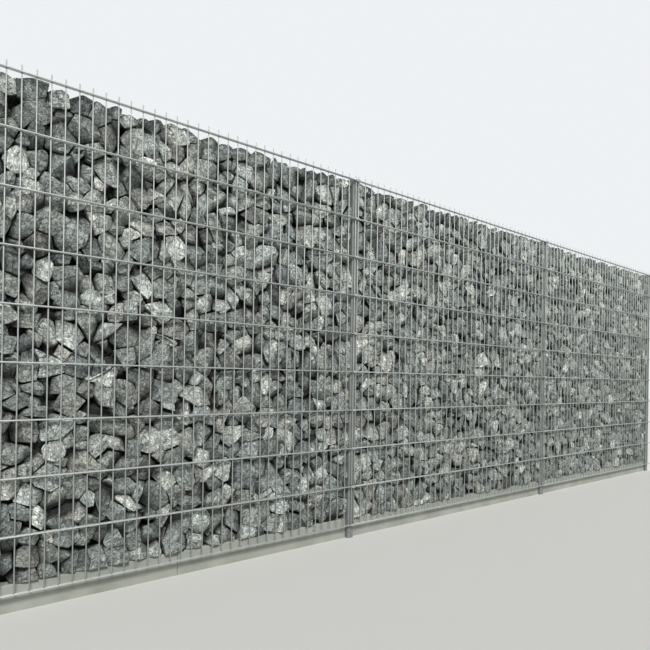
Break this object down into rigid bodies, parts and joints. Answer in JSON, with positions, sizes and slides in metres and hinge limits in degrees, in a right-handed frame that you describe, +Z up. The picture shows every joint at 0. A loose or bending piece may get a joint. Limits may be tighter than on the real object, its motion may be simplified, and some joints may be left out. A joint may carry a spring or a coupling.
{
  "type": "gabion fence wall",
  "caption": "Straight gabion fence wall: welded double-rod wire mats on steel posts, filled with broken granite, with concrete kerb boards at the foot.",
  "frame": {"origin": "middle of the left end post's foot, at ground level", "axes": "+X along the wall to the right as seen from the front, -Y out of the front face, +Z up"},
  "size_m": [6.1, 0.2396, 1.895],
  "materials": {
    "post_steel": "matte",
    "mat_wire": "satin",
    "clip_steel": "satin",
    "stone": "matte",
    "kerb_concrete": "matte"
  },
  "bodies": {
    "root": {"post_1": "post_steel", "post_cap_1": "post_steel", "post_2": "post_steel", "post_cap_2": "post_steel", "post_3": "post_steel", "post_cap_3": "post_steel", "post_4": "post_steel", "post_cap_4": "post_steel", "front_mat_1": "mat_wire", "rear_mat_1": "mat_wire", "stone_fill_1": "stone", "front_mat_2": "mat_wire", "rear_mat_2": "mat_wire", "stone_fill_2": "stone", "front_mat_3": "mat_wire", "rear_mat_3": "mat_wire", "stone_fill_3": "stone", "front_clips_1": "clip_steel", "rear_clips_1": "clip_steel", "front_clips_2": "clip_steel", "rear_clips_2": "clip_steel", "front_clips_3": "clip_steel", "rear_clips_3": "clip_steel", "front_clips_4": "clip_steel", "rear_clips_4": "clip_steel", "front_kerb_1": "kerb_concrete", "rear_kerb_1": "kerb_concrete", "front_kerb_2": "kerb_concrete", "rear_kerb_2": "kerb_concrete", "front_kerb_3": "kerb_concrete", "rear_kerb_3": "kerb_concrete", "front_kerb_4": "kerb_concrete", "rear_kerb_4": "kerb_concrete", "front_kerb_5": "kerb_concrete", "rear_kerb_5": "kerb_concrete", "front_kerb_6": "kerb_concrete", "rear_kerb_6": "kerb_concrete"}
  },
  "joints": []
}
